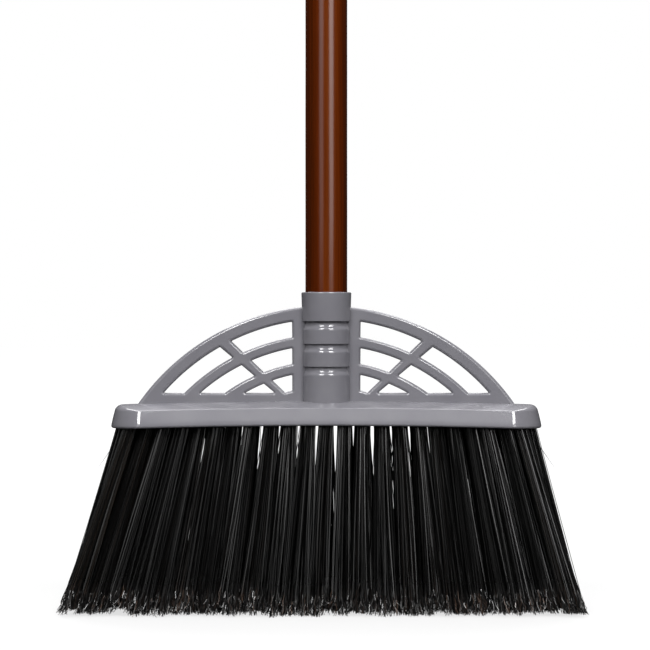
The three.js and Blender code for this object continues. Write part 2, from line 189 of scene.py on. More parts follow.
room = bpy.data.worlds.new("white room")
room.use_nodes = True
scene.world = room
tree = room.node_tree
tree.nodes.clear()
dim = add_node(tree, "ShaderNodeBackground", {"Color": WHITE, "Strength": ROOM_LIGHT})
white = add_node(tree, "ShaderNodeBackground", {"Color": WHITE, "Strength": 1})
chosen = add_node(tree, "ShaderNodeMixShader", links={"Fac": seen_by_eye(tree)})
tree.links.new(dim.outputs[0], chosen.inputs[1])
tree.links.new(white.outputs[0], chosen.inputs[2])
add_node(tree, "ShaderNodeOutputWorld", links={"Surface": chosen.outputs[0]})

FLOOR_REACH = 12000
GLOW_GROWS_FROM = 200
GLOW_GROWS_TO = 2000
NEAR_GLOW = 0.72
paint, tree, shader = new_material("white_floor_paint")
shader.inputs["Base Color"].default_value = srgb("#6E6E6E")
shader.inputs["Roughness"].default_value = 0.9
shader.inputs["Specular IOR Level"].default_value = 0
shader.inputs["Emission Color"].default_value = WHITE
near = add_node(tree, "ShaderNodeVectorMath", {"operation": "LENGTH"},
                {"Vector": add_node(tree, "ShaderNodeTexCoord").outputs["Object"]})
reach = {"From Min": GLOW_GROWS_FROM * MM, "From Max": GLOW_GROWS_TO * MM, "To Min": NEAR_GLOW}
glow = add_node(tree, "ShaderNodeMapRange", reach, {"Value": near.outputs["Value"]})
tree.links.new(glow.outputs["Result"], shader.inputs["Emission Strength"])
dull = add_node(tree, "ShaderNodeBsdfDiffuse", {"Color": srgb("#303030")})
coat = add_node(tree, "ShaderNodeMixShader", links={"Fac": seen_by_eye(tree)})
tree.links.new(dull.outputs[0], coat.inputs[1])
tree.links.new(shader.outputs[0], coat.inputs[2])
tree.links.new(coat.outputs[0], tree.nodes["Material Output"].inputs["Surface"])
far = FLOOR_REACH * MM
floor = blank("floor", [(-far, -far, 0), (far, -far, 0), (far, far, 0), (-far, far, 0)], [(0, 1, 2, 3)])
floor.data.materials.append(paint)
print("room and floor are white")

# %% [markdown]
# ## Lamps
# The handle carries two bright lines side by side, and each ring of the socket two bright spots.
# On a round rod such a mark sits where the surface faces half-way between the eye and a lamp, so
# there were two lamps, one on each side of the camera. Here each side has a tall dim strip for
# the handle's line, which fades towards the socket, so a shorter strip adds light to its upper
# part. A bright box above it makes the spots and the narrow marks at the ends of the block. A dim
# panel between the boxes shows in the block's front. The upper edges are brighter than the faces,
# so a large lamp hangs above, and another behind keeps the back from going black.

# %% Lamps
BOX_TURN = 27.5
BOX_RISE = 40
STRIP_RISE = 15.5
STRIP_WIDTH = 520
BOX_DISTANCE = 1300
AIM = Vector((0, 0, 150))


def softbox(name, turn, rise, distance, width, height, radiance):
    lamp = bpy.data.lights.new(name, "AREA")
    lamp.shape = "RECTANGLE"
    lamp.size = width * MM
    lamp.size_y = height * MM
    lamp.energy = radiance * math.pi * lamp.size * lamp.size_y
    turn = math.radians(turn)
    rise = math.radians(rise)
    away = Vector((math.sin(turn) * math.cos(rise), -math.cos(turn) * math.cos(rise), math.sin(rise)))
    made = bpy.data.objects.new(name, lamp)
    made.location = (AIM + away * distance) * MM
    made.rotation_euler = away.to_track_quat("Z", "Y").to_euler()
    made.visible_camera = False
    scene.collection.objects.link(made)
    print(f"{name}: {lamp.energy:.2f} W")


# Each line gives turn and rise in degrees, distance, width and height in mm, and brightness.
for side, hand in (("left", -1), ("right", 1)):
    turn = hand * BOX_TURN
    softbox(f"strip_{side}", turn, STRIP_RISE, BOX_DISTANCE, STRIP_WIDTH, 575, 1.88 + 0.86 * hand)
    softbox(f"upper_strip_{side}", turn, 20.3, BOX_DISTANCE, STRIP_WIDTH, 340, 0.92 + 0.24 * hand)
    softbox(f"box_{side}", turn, BOX_RISE, BOX_DISTANCE, 420, 400, 21)
softbox("panel", 0, 44, BOX_DISTANCE, 440, 420, 1)
softbox("top_light", 0, 90, 3000, 3400, 1900, 3.5)
softbox("back_light", 180, 55, 2600, 2400, 1300, 6.8)

# %% [markdown]
# ## Moulded polypropylene
# The head is polypropylene, moulded in one shot. The plastic is mid-grey with a trace of blue and
# a clean gloss. The eye sees four things in it: faint cloudy flow marks, a fine orange peel from
# the mould's surface, broad shallow sinks where thick ribs have shrunk, and a duller finish on
# the faces that look up, where dust and hands have rubbed it. All four are noise or a ramp in the
# nodes, at the size that they have on a real moulding.

# %% Grey moulded polypropylene
FLOW_MARK = 18
ORANGE_PEEL = 0.9
SINK = 16
SCUFF = 0.17


def polypropylene(name, pale, deep):
    material, tree, shader = new_material(name)
    spot = add_node(tree, "ShaderNodeTexCoord")
    place = {"Vector": spot.outputs["Object"]}
    flow = add_node(tree, "ShaderNodeTexNoise", {"Scale": scale_for(FLOW_MARK), "Detail": 4}, place)
    tint = add_node(tree, "ShaderNodeValToRGB", {"stops": [(0.3, srgb(deep)), (0.7, srgb(pale))]},
                    {"Fac": flow.outputs["Fac"]})
    tree.links.new(tint.outputs["Color"], shader.inputs["Base Color"])
    gloss = add_node(tree, "ShaderNodeMapRange", {"To Min": 0.07, "To Max": 0.12},
                     {"Value": flow.outputs["Fac"]})
    facing = add_node(tree, "ShaderNodeSeparateXYZ", links={"Vector": spot.outputs["Normal"]})
    scuffed = add_node(tree, "ShaderNodeMapRange", {"From Min": 0.85, "From Max": 0.95, "To Max": SCUFF},
                       {"Value": facing.outputs["Z"]})
    rough = add_node(tree, "ShaderNodeMath", {"operation": "ADD"},
                     {0: gloss.outputs["Result"], 1: scuffed.outputs["Result"]})
    tree.links.new(rough.outputs[0], shader.inputs["Roughness"])
    peel = add_node(tree, "ShaderNodeTexNoise", {"Scale": scale_for(ORANGE_PEEL), "Detail": 2}, place)
    sink = add_node(tree, "ShaderNodeTexNoise", {"Scale": scale_for(SINK), "Detail": 0}, place)
    broad = add_node(tree, "ShaderNodeBump", {"Strength": 0.1, "Distance": 0.5 * MM},
                     {"Height": sink.outputs["Fac"]})
    fine = add_node(tree, "ShaderNodeBump", {"Strength": 0.15, "Distance": 0.02 * MM},
                    {"Height": peel.outputs["Fac"], "Normal": broad.outputs["Normal"]})
    tree.links.new(fine.outputs["Normal"], shader.inputs["Normal"])
    shader.inputs["IOR"].default_value = 1.49
    shader.inputs["Specular IOR Level"].default_value = 0.73
    return material


grey_plastic = polypropylene("moulded_polypropylene_grey", "#78777C", "#717076")
print(grey_plastic.name)

# %% [markdown]
# ## The block of the head
# The block is a shallow cover: its walls lean in, its top is domed from front to back, and all of
# it is arched a little along its length. Seen from above its long sides are straight and its ends
# are round: a tight curve leads from the side into a wide one. A bevelled box could give round
# corners, but not the lean, dome and arch as well. So it is made as a loft, a skin over many such
# outlines, each drawn in further than the one below. The upper edge is nearly sharp along the
# front and grows round towards the ends.

# %% Outlines of the block
LIP = 95.3
BLOCK_LENGTH = 225
BLOCK_DEPTH = 50
END_RADIUS = 26.9
TIGHT_RADIUS = 7.5
TIGHT_TURN = math.radians(30)
WIDE_STEPS = 14
TIGHT_STEPS = 10
LONG_STEPS = 48
BLOCK_HEIGHT = 12
BLOCK_ARCH = 2
BLOCK_DOME = 3.8
WALL_LEAN = 2
SIDE_LEAN = 0.8
WALL_BULGE = 0.15
FOOT_TILT = math.radians(18)
TOP_TILT = math.radians(24)
FRONT_FILLET = 0.5
END_FILLET = 4.2
FILLET_START = 0.86
BLOCK_LIP = 1.1
PLUG_DRAFT = 0.28
CROWN = LIP + BLOCK_ARCH + BLOCK_HEIGHT


def arch(x):
    return LIP + BLOCK_ARCH * (1 - (x / (BLOCK_LENGTH / 2)) ** 2)


def roof(x, y):
    return arch(x) + BLOCK_HEIGHT - BLOCK_DOME * (y / (BLOCK_DEPTH / 2)) ** 2


def fillet(x):
    part = min(1, max(0, abs(x) / (BLOCK_LENGTH / 2) - FILLET_START) / (1 - FILLET_START))
    return FRONT_FILLET + (END_FILLET - FRONT_FILLET) * part * part * (3 - 2 * part)


def corner(inset):
    across = math.cos(TIGHT_TURN) * (END_RADIUS - TIGHT_RADIUS)
    wide = Vector((BLOCK_LENGTH / 2 - END_RADIUS, BLOCK_DEPTH / 2 - TIGHT_RADIUS - across))
    tight = wide + Vector((math.sin(TIGHT_TURN) * (END_RADIUS - TIGHT_RADIUS), across))
    path = []
    for i in range(WIDE_STEPS + 1):
        turn = (math.pi / 2 - TIGHT_TURN) * i / WIDE_STEPS
        path.append(wide + Vector((math.cos(turn), math.sin(turn))) * (END_RADIUS - inset))
    for i in range(1, TIGHT_STEPS + 1):
        turn = math.pi / 2 - TIGHT_TURN * (1 - i / TIGHT_STEPS)
        path.append(tight + Vector((math.cos(turn), math.sin(turn))) * (TIGHT_RADIUS - inset))
    return path


def outline(inset, height, squeeze=0):
    path = corner(inset)
    thinned = 1 - squeeze / path[-1].y
    ring = []
    for side in (1, -1):
        ring += [(side * p.x, side * p.y * thinned) for p in path]
        x, y = ring[-1]
        ring += [(x * (1 - 2 * i / LONG_STEPS), y) for i in range(1, LONG_STEPS)]
        ring += [(-side * p.x, side * p.y * thinned) for p in reversed(path)]
    return [(x, y, height(x, y)) for x, y in ring]


def loft(name, rings):
    count = len(rings[0])
    last = (len(rings) - 1) * count
    faces = []
    for low in range(0, last, count):
        for i in range(count):
            j = (i + 1) % count
            faces.append((low + i, low + j, low + j + count, low + i + count))
    for i in range(count // 2 - 1):
        rung = (i, i + 1, count - 2 - i, count - 1 - i)
        faces.append(tuple(reversed(rung)))
        faces.append(tuple(last + k for k in rung))
    return blank(name, [point for ring in rings for point in ring], faces)


# %% [markdown]
# The skin starts with a small round lip, runs up the leaning wall, turns over the upper edge and
# closes in over the roof. The hollow is a plain plug of the same outline, to be cut out later.

# %% The block and its hollow
COVER_WALL = 1.6
POCKET_HEIGHT = 7
LIP_STEPS = 5
WALL_STEPS = 7
FILLET_STEPS = 8
ROOF_STEPS = 10
ROOF_STEP_LONG = 0.02
ROOF_STEP_DEEP = 0.099
LIP_RISE = BLOCK_LIP * (1 + math.sin(FOOT_TILT))


def lip_ring(part):
    tilt = (FOOT_TILT + math.pi / 2) * part - math.pi / 2
    rise = BLOCK_LIP * (1 + math.sin(tilt))
    return outline(BLOCK_LIP * (1 - math.cos(tilt)), lambda x, y: arch(x) + rise)


def wall_ring(part):
    lean = part * (1 - WALL_BULGE) + part ** 2 * WALL_BULGE
    drop = 1 - math.sin(TOP_TILT)

    def height(x, y):
        return (arch(x) + LIP_RISE) * (1 - part) + (roof(x, y) - fillet(x) * drop) * part

    return outline(WALL_LEAN * lean, height, SIDE_LEAN * lean)


def fillet_ring(part):
    tilt = TOP_TILT + (math.pi / 2 - TOP_TILT) * part
    reach = math.cos(TOP_TILT) - math.cos(tilt)
    squeeze = SIDE_LEAN + (FRONT_FILLET - END_FILLET) * reach

    def height(x, y):
        return roof(x, y) - fillet(x) * (1 - math.sin(tilt))

    return outline(WALL_LEAN + END_FILLET * reach, height, squeeze)


def roof_ring(edge, step):
    places = [(x * (1 - ROOF_STEP_LONG * step), y * (1 - ROOF_STEP_DEEP * step)) for x, y, _ in edge]
    return [(x, y, roof(x, y)) for x, y in places]


def block_rings():
    rings = [lip_ring(i / LIP_STEPS) for i in range(LIP_STEPS + 1)]
    rings += [wall_ring(i / WALL_STEPS) for i in range(1, WALL_STEPS)]
    rings += [fillet_ring(i / FILLET_STEPS) for i in range(FILLET_STEPS + 1)]
    edge = rings[-1]
    return rings + [roof_ring(edge, i) for i in range(1, ROOF_STEPS + 1)]


def plug_rings(wall, low, high):
    return [outline(wall + PLUG_DRAFT * h, lambda x, y: arch(x) + h) for h in (low, high)]


head = loft("broom_head", block_rings())
pocket = loft("pocket", plug_rings(COVER_WALL, -1, POCKET_HEIGHT))
print(f"block skin: {len(head.data.vertices)} points")

# %% [markdown]
# ## The socket
# The socket is a round barrel with a collar at its mouth and three grooves round it. A turned
# piece is best drawn as half of its section and swept round the axis. Moulded corners are never
# quite sharp, and a rounded edge is what catches the light, so each corner of the section carries
# its own rounding.

# %% Turning a section
def eased(corners, steps=10):
    path = []
    for i, (radius, height, rounding) in enumerate(corners):
        here = Vector((radius, height))
        if rounding == 0 or i in (0, len(corners) - 1):
            path.append(tuple(here))
            continue
        before = Vector(corners[i - 1][:2]) - here
        after = Vector(corners[i + 1][:2]) - here
        half = before.angle(after) / 2
        reach = min(rounding / math.tan(half), 0.48 * before.length, 0.48 * after.length)
        start = here + before.normalized() * reach
        end = here + after.normalized() * reach
        for k in range(steps + 1):
            t = k / steps
            path.append(tuple(start * (1 - t) ** 2 + here * 2 * t * (1 - t) + end * t ** 2))
    return path


def turned(name, section, sides=128, ridge=None):
    points = []
    rows = []
    faces = []
    for radius, height in section:
        if radius == 0:
            rows.append([len(points)] * sides)
            points.append((0, 0, height))
            continue
        rows.append([len(points) + i for i in range(sides)])
        for i in range(sides):
            angle = 2 * math.pi * i / sides
            grown = radius + (ridge(angle, radius, height) if ridge else 0)
            points.append((grown * math.cos(angle), grown * math.sin(angle), height))
    if section[0] == section[-1]:
        rows[-1] = rows[0]
        points = points[:-sides]
    for low, high in zip(rows, rows[1:]):
        for i in range(sides):
            j = (i + 1) % sides
            face = list(dict.fromkeys((low[i], low[j], high[j], high[i])))
            if len(face) > 2:
                faces.append(face)
    return blank(name, points, faces)


# %% Section of the socket
SOCKET_TOP = CROWN + 56.8
SHOULDER = SOCKET_TOP - 12
SOCKET_FOOT = CROWN - 4.2
BARREL_RADIUS = 12.26
COLLAR_RADIUS = 13.1
COLLAR_HEIGHT = 15.2
COLLAR_TAPER = 0.5
GROOVE_PITCH = 11.85
GROOVE_HEIGHT = 4.1
GROOVE_FLOOR = 2.2
GROOVE_DEPTH = 1.1
GROOVE_ROUNDING = 2.6

section = [(0, SOCKET_FOOT, 0), (BARREL_RADIUS, SOCKET_FOOT, 0)]
for groove in (2, 1, 0):
    top = SOCKET_TOP - COLLAR_HEIGHT - groove * GROOVE_PITCH
    root = BARREL_RADIUS - GROOVE_DEPTH
    section.append((BARREL_RADIUS, top - GROOVE_HEIGHT, GROOVE_ROUNDING))
    section.append((root, top - GROOVE_FLOOR, GROOVE_ROUNDING))
    section.append((root, top, 0.2))
    section.append((COLLAR_RADIUS - COLLAR_TAPER if groove == 0 else BARREL_RADIUS, top, 0.35))
section += [(COLLAR_RADIUS, SOCKET_TOP, 0.7), (COLLAR_RADIUS - 1.6, SOCKET_TOP, 0), (0, SOCKET_TOP, 0)]
barrel = turned("barrel", eased(section))
print(f"barrel: {len(barrel.data.polygons)} faces")

# %% [markdown]
# The hollow of the socket is a plain seat for the handle with a coarse thread below it. A thread
# is a turned section whose radius also grows along a helix, so the same helper makes it.

# %% Hollow of the socket
THREAD_PITCH = 5
THREAD_RADIUS = 8
THREAD_RIDGE = 1.3
THREAD_GAP = 0.4
THREAD_RUN_OUT = 1.2
TIP_LENGTH = 35
SEAT_RADIUS = 11.3


def helix_ridge(height, half_width, low, high):
    def ridge(angle, radius, z):
        turn = ((z - SHOULDER) / THREAD_PITCH - angle / (2 * math.pi)) % 1
        off = min(turn, 1 - turn) * THREAD_PITCH / half_width
        fade = min(1, max(0, z - low) / THREAD_RUN_OUT, max(0, high - z) / THREAD_RUN_OUT)
        return height * fade * math.cos(off * math.pi / 2) ** 2 if off < 1 else 0
    return ridge


seat_floor = SHOULDER - 0.3
bore_floor = seat_floor - TIP_LENGTH - 2
bore_radius = THREAD_RADIUS + THREAD_GAP
rows = 80
bore = [(bore_radius, bore_floor + (seat_floor - bore_floor) * i / rows) for i in range(rows + 1)]
mouth = [(SEAT_RADIUS, seat_floor), (SEAT_RADIUS, SOCKET_TOP - 0.5), (SEAT_RADIUS + 1.5, SOCKET_TOP + 1)]
hollow_section = [(0, bore_floor), *bore, *mouth, (0, SOCKET_TOP + 1)]
female = helix_ridge(THREAD_RIDGE, 2.1, bore_floor + 1, seat_floor + THREAD_RUN_OUT)
hollow = turned("hollow", hollow_section, 96, lambda a, r, z: female(a, r, z) if r == bore_radius else 0)
print(f"socket: {COLLAR_RADIUS * 2:.1f} mm over the collar, bore {bore_radius * 2:.1f} mm")

# %% [markdown]
# ## The fan lattice
# The fan stiffens the socket. It is a flat plate, cut through by three rings of curved windows
# that a slanting rib crosses on each side. A flat curve with holes in it can be filled, given a
# thickness and a round edge all at once, so the plate is drawn as a curve and turned into a mesh.

# %% Windows of the fan
FAN_RADIUS = 120.2
FAN_CENTRE = CROWN + 49.9 - FAN_RADIUS
FAN_THICKNESS = 4
RIM_WIDTH = 7.1
RIB_WIDTH = 5.8
WINDOW_WIDTH = 7.9
POST_HALF = BARREL_RADIUS + 5.6
RAIL_TOP = CROWN + 4.2
BRACE_ANGLE = math.radians(41.8)
BRACE_WIDTH = 3.3
BRACE_GROWTH = 0.068
BRACE_FOOT = Vector((POST_HALF + 1.6, CROWN))


def brace_edge(hand):
    along = Vector((math.cos(BRACE_ANGLE), math.sin(BRACE_ANGLE)))
    across = Vector((-along.y, along.x)) * hand
    start = BRACE_FOOT + across * BRACE_WIDTH / 2
    end = BRACE_FOOT + along * FAN_RADIUS + across * (BRACE_WIDTH + BRACE_GROWTH * FAN_RADIUS) / 2
    run = (end - start).normalized()
    return lambda x, z: hand * (run.x * (z - start.y) - run.y * (x - start.x))


def clipped(shape, side):
    kept = []
    for here, there in zip(shape, shape[1:] + shape[:1]):
        a = side(*here)
        b = side(*there)
        if a > 0:
            kept.append(here)
        if a * b < 0:
            kept.append(tuple(Vector(here).lerp(Vector(there), a / (a - b))))
    return kept


def arc(radius, start, end, step=1.5):
    count = max(2, round(radius * abs(end - start) / step))
    angles = [start + (end - start) * i / count for i in range(count + 1)]
    return [(radius * math.cos(a), FAN_CENTRE + radius * math.sin(a)) for a in angles]


def windows():
    made = []
    for ring in range(3):
        outer = FAN_RADIUS - RIM_WIDTH - ring * (WINDOW_WIDTH + RIB_WIDTH)
        painted_sheen_band = arc(outer, 0, math.pi / 2) + arc(outer - WINDOW_WIDTH, math.pi / 2, 0)
        painted_sheen_band = clipped(painted_sheen_band, lambda x, z: x - POST_HALF)
        painted_sheen_band = clipped(painted_sheen_band, lambda x, z: z - RAIL_TOP)
        made += [clipped(painted_sheen_band, brace_edge(1)), clipped(painted_sheen_band, brace_edge(-1))]
    return made


# %% [markdown]
# Cutting leaves points that nearly coincide and corners that are knife-sharp. So each outline is
# cleaned first, and each true corner is given the small radius that a mould needs.

# %% Corners of an outline
CORNER_RADIUS = 0.4
STRAIGHT_ENOUGH = math.radians(80)


def softened(shape, radius=CORNER_RADIUS):
    drawn = [Vector(p) for p in shape]
    points = [p for i, p in enumerate(drawn) if (p - drawn[i - 1]).length > CORNER_RADIUS]
    made = []
    for i, here in enumerate(points):
        before = points[i - 1] - here
        after = points[(i + 1) % len(points)] - here
        half = before.angle(after) / 2
        if half > STRAIGHT_ENOUGH:
            made.append(here)
            continue
        reach = min(radius / math.tan(half), 0.45 * before.length, 0.45 * after.length)
        start = here + before.normalized() * reach
        end = here + after.normalized() * reach
        made += [start.lerp(here, t).lerp(here.lerp(end, t), t) for t in (0, 0.25, 0.5, 0.75, 1)]
    return made


# %% [markdown]
# The curve's own bevel is a quarter circle, which shows only a hair of light. It is pressed
# towards a straight chamfer, and then each edge catches a clear bright line. The curve also fills
# its flat sides with long thin triangles that shade badly, so those are cut out, a little inside
# the edge, and filled again.

# %% A plate from a curve
EDGE_POWER = 1.55
FLAT_INSET = 0.25
BEVEL_STEPS = 6
WELD = 0.002


def filled_curve(name, shapes, thickness, rounding):
    drawing = bpy.data.curves.new(name, "CURVE")
    drawing.dimensions = "2D"
    drawing.fill_mode = "BOTH"
    drawing.extrude = thickness / 2 - rounding
    drawing.bevel_depth = rounding
    drawing.bevel_resolution = BEVEL_STEPS
    drawing.offset = -rounding
    for shape in shapes:
        spline = drawing.splines.new("POLY")
        spline.points.add(len(shape) - 1)
        for point, (x, z) in zip(spline.points, shape):
            point.co = (x, z, 0, 1)
        spline.use_cyclic_u = True
    holder = bpy.data.objects.new(name, drawing)
    scene.collection.objects.link(holder)
    drawn = holder.evaluated_get(bpy.context.evaluated_depsgraph_get())
    shape = bmesh.new()
    shape.from_mesh(bpy.data.meshes.new_from_object(drawn))
    bpy.data.objects.remove(holder)
    bmesh.ops.remove_doubles(shape, verts=shape.verts, dist=WELD)
    return shape


def press_edges(shape, thickness, rounding):
    core = thickness / 2 - rounding
    for point in shape.verts:
        rise = max(0, abs(point.co.z) - core) / rounding
        level = math.sqrt(max(0, 1 - rise ** 2))
        height = min(abs(point.co.z), core) + rounding * (1 - level ** EDGE_POWER) ** (1 / EDGE_POWER)
        point.co.z = math.copysign(height, point.co.z)


def refill_sides(shape):
    flat = [face for face in shape.faces if abs(face.normal.z) > 0.9999]
    bmesh.ops.inset_region(shape, faces=flat, thickness=FLAT_INSET, use_even_offset=True, use_boundary=True)
    inner = set(flat)
    rims = [edge for edge in shape.edges if len(inner.intersection(edge.link_faces)) == 1]
    bmesh.ops.delete(shape, geom=flat, context="FACES")
    for side in (-1, 1):
        loops = [edge for edge in rims if edge.verts[0].co.z * side > 0]
        bmesh.ops.triangle_fill(shape, use_beauty=True, edges=loops, normal=(0, 0, side))


def plate(name, shapes, thickness, rounding):
    shape = filled_curve(name, shapes, thickness, rounding)
    press_edges(shape, thickness, rounding)
    refill_sides(shape)
    bmesh.ops.rotate(shape, verts=shape.verts, matrix=Matrix.Rotation(math.pi / 2, 3, "X"))
    bmesh.ops.recalc_face_normals(shape, faces=shape.faces)
    made = blank(name, [], [])
    shape.to_mesh(made.data)
    open_edges = sum(not edge.is_manifold for edge in shape.edges)
    shape.free()
    print(f"{name}: {len(made.data.polygons)} faces, {open_edges} open edges")
    return made


# %% The fan
EDGE_ROUNDING = 1.4
RIM_END_RADIUS = 1.5

half_turn = math.asin((SOCKET_FOOT - FAN_CENTRE) / FAN_RADIUS)
rim = softened(arc(FAN_RADIUS, half_turn, math.pi - half_turn), RIM_END_RADIUS)
right = [softened(shape) for shape in windows()]
left = [[Vector((-p.x, p.y)) for p in reversed(shape)] for shape in right]
fan = plate("fan", [rim, *right, *left], FAN_THICKNESS, EDGE_ROUNDING)

# %% [markdown]
# ## One moulding
# Block, socket and fan leave the mould as one piece, so they are joined with Boolean modifiers,
# and the hollows are cut out of the whole. The result is baked into one closed mesh.

# %% Join and hollow out
def carved(piece, *steps):
    for operation, tool in steps:
        change = piece.modifiers.new(tool.name, "BOOLEAN")
        change.operation = operation
        change.solver = "MANIFOLD"
        change.object = tool
    bake(piece)
    for _, tool in steps:
        bpy.data.objects.remove(tool)
    return piece


carved(head, ("UNION", barrel), ("UNION", fan), ("DIFFERENCE", pocket), ("DIFFERENCE", hollow))
fit(head, grey_plastic, "head", "head_cover")

# %% [markdown]
# ## The tuft block
# A plate inside the cover holds the tufts: one blind hole for each, as the real one is drilled.
# In the outer rows the last tufts stand closer together, to stay inside the round ends. It shows
# only from below, between the roots of the tufts.

# %% Places of the tufts
TUFT_ROWS = 4
TUFTS_IN_ROW = 23
TUFT_WIDTH = 7.9
TUFT_PITCH = 9.52
LAST_STEP = (TUFTS_IN_ROW - 1) / 2
END_CROWD = 5
CROWD_START = 5
ROW_MARGIN = 10.3
ROW_PITCH = (BLOCK_DEPTH - 2 * ROW_MARGIN) / (TUFT_ROWS - 1)
SWEEP_WIDTH = 270
SWEEP_SIDE = -2.6
SWEEP_DEPTH = 60


def row_y(row):
    return (row - (TUFT_ROWS - 1) / 2) * ROW_PITCH


def tuft_x(row, tuft):
    step = tuft - LAST_STEP
    crowd = END_CROWD if abs(row_y(row)) > ROW_PITCH else 0
    outward = max(0, abs(step) - CROWD_START) / (LAST_STEP - CROWD_START)
    return TUFT_PITCH * step - math.copysign(crowd * outward, step)


# %% Plate with its holes
PLATE_RECESS = 0.8
HOLE_TOP = 5.2
HOLE_REACH = TUFT_WIDTH / 2 + 0.15
HOLE_SIDES = 16

tuft_plate = loft("tuft_plate", plug_rings(COVER_WALL + 0.3, PLATE_RECESS, POCKET_HEIGHT - 0.3))
points = []
faces = []
for row in range(TUFT_ROWS):
    for tuft in range(TUFTS_IN_ROW):
        x = tuft_x(row, tuft)
        first = len(points)
        for height in (-1, HOLE_TOP):
            for i in range(HOLE_SIDES):
                angle = 2 * math.pi * i / HOLE_SIDES
                across = HOLE_REACH * math.cos(angle)
                points.append((x + across, row_y(row) + HOLE_REACH * math.sin(angle), arch(x) + height))
        bottom = [first + i for i in range(HOLE_SIDES)]
        top = [first + HOLE_SIDES + i for i in range(HOLE_SIDES)]
        for i in range(HOLE_SIDES):
            j = (i + 1) % HOLE_SIDES
            faces.append((bottom[i], bottom[j], top[j], top[i]))
        faces += [bottom[::-1], top]
carved(tuft_plate, ("DIFFERENCE", blank("holes", points, faces)))
fit(tuft_plate, grey_plastic, "head", "tuft_block")

# %% [markdown]
# ## Polyester filament
# The bristles are extruded polyester, dyed black in the melt. Each is a smooth glossy thread
# about half a millimetre thick, so a tuft shows a soft sheen down its middle. The tips are split
# by machine, and the split ends look paler, browner and a little duller. A few threads are
# brownish all the way. Each thread carries two numbers for this: its own tone, and how far along
# it a point lies.

# %% Black polyester filament
filament, tree, shader = new_material("extruded_polyester_black")
tone = add_node(tree, "ShaderNodeAttribute", {"attribute_name": "tone"})
along = add_node(tree, "ShaderNodeAttribute", {"attribute_name": "along"})
thread_stops = [(0, srgb("#000000")), (0.75, srgb("#040404")),
                (0.93, srgb("#120F0D")), (1, srgb("#31271D"))]
thread = add_node(tree, "ShaderNodeValToRGB", {"stops": thread_stops}, {"Fac": tone.outputs["Fac"]})
end_stops = [(0, srgb("#000000")), (0.6, srgb("#030202")),
             (0.9, srgb("#1C1410")), (1, srgb("#5E493C"))]
split_end = add_node(tree, "ShaderNodeValToRGB", {"stops": end_stops}, {"Fac": tone.outputs["Fac"]})
worn_part = add_node(tree, "ShaderNodeMapRange", {"From Min": 0.84, "From Max": 0.95},
                     {"Value": along.outputs["Fac"]})
worn = add_node(tree, "ShaderNodeMixRGB", links={"Fac": worn_part.outputs["Result"],
                "Color1": thread.outputs["Color"], "Color2": split_end.outputs["Color"]})
tree.links.new(worn.outputs["Color"], shader.inputs["Base Color"])
gloss = add_node(tree, "ShaderNodeMapRange", {"To Min": 0.27, "To Max": 0.36},
                 {"Value": worn_part.outputs["Result"]})
tree.links.new(gloss.outputs["Result"], shader.inputs["Roughness"])
shader.inputs["IOR"].default_value = 1.57
shader.inputs["Specular IOR Level"].default_value = 0.92
print(filament.name)

# %% [markdown]
# ## The tufts
# Hair particles could make bristles, but they vanish in an exported mesh. Here every thread is
# its own slim three-sided tube, and a row of tufts is one mesh of such tubes. A map for baking
# lays the threads out by tone and length, so that threads which share a place there share a
# colour too.

# %% A bundle of threads
CHART_CORNER = (0.02, 0.03)
CHART_SIZE = (0.92, 0.94)
CHART_SIDE = 0.012
CHART_CAP = 0.01


class Bundle:
    def __init__(self):
        self.points = []
        self.faces = []
        self.along = []
        self.tone = []
        self.map = []

    def thread(self, path, widths, tone, start, end):
        first = len(self.points)
        last = len(path) - 1
        for step, middle in enumerate(path):
            part = step / last
            radius = (widths[0] + (widths[1] - widths[0]) * part) / 2
            for side in range(3):
                angle = 2 * math.pi * side / 3 + tone * 40
                off = Vector((math.cos(angle), math.sin(angle), 0)) * radius
                self.points.append(tuple(middle + off))
                self.along.append(start + (end - start) * part)
                self.tone.append(tone)
        for step in range(last):
            up = first + 3 * step
            for side in range(3):
                turn = (side + 1) % 3
                here = ((up + 3 + side, side), (up + 3 + turn, side + 1))
                self.face((*here, (up + turn, side + 1), (up + side, side)))
        low = first + 3 * last
        self.face(((low + 2, 0), (low + 1, 2), (low, 1)), CHART_CAP)
        self.face(((first, 0), (first + 1, 2), (first + 2, 1)), CHART_CAP)

    def face(self, corners, shift=0):
        self.faces.append([point for point, _ in corners])
        for point, side in corners:
            across = CHART_CORNER[0] + CHART_SIZE[0] * self.tone[point] + CHART_SIDE * side
            up = CHART_CORNER[1] + CHART_SIZE[1] * self.along[point] + shift * (side == 1)
            self.map.append((across, up))


# %% [markdown]
# A tuft starts as a round bundle in its hole, packed like the seeds of a sunflower, and splays as
# it goes down. Some tufts open early and some late, so the gaps between neighbours close at
# different heights. Within a tuft the threads gather in clumps, each thread strays and bows a
# little, and the ends are cut level at the floor. Near the floor each thread splits into two
# hairs. The tufts at the ends of the head are tighter, and keep the brush's outline clean. All
# the chances come from one seed for each row, so the brush is the same every time. The values
# called stray, bow, curl and lean say how far chance moves a thing sideways, in millimetres, and
# those called uneven say how far it moves an end up or down.

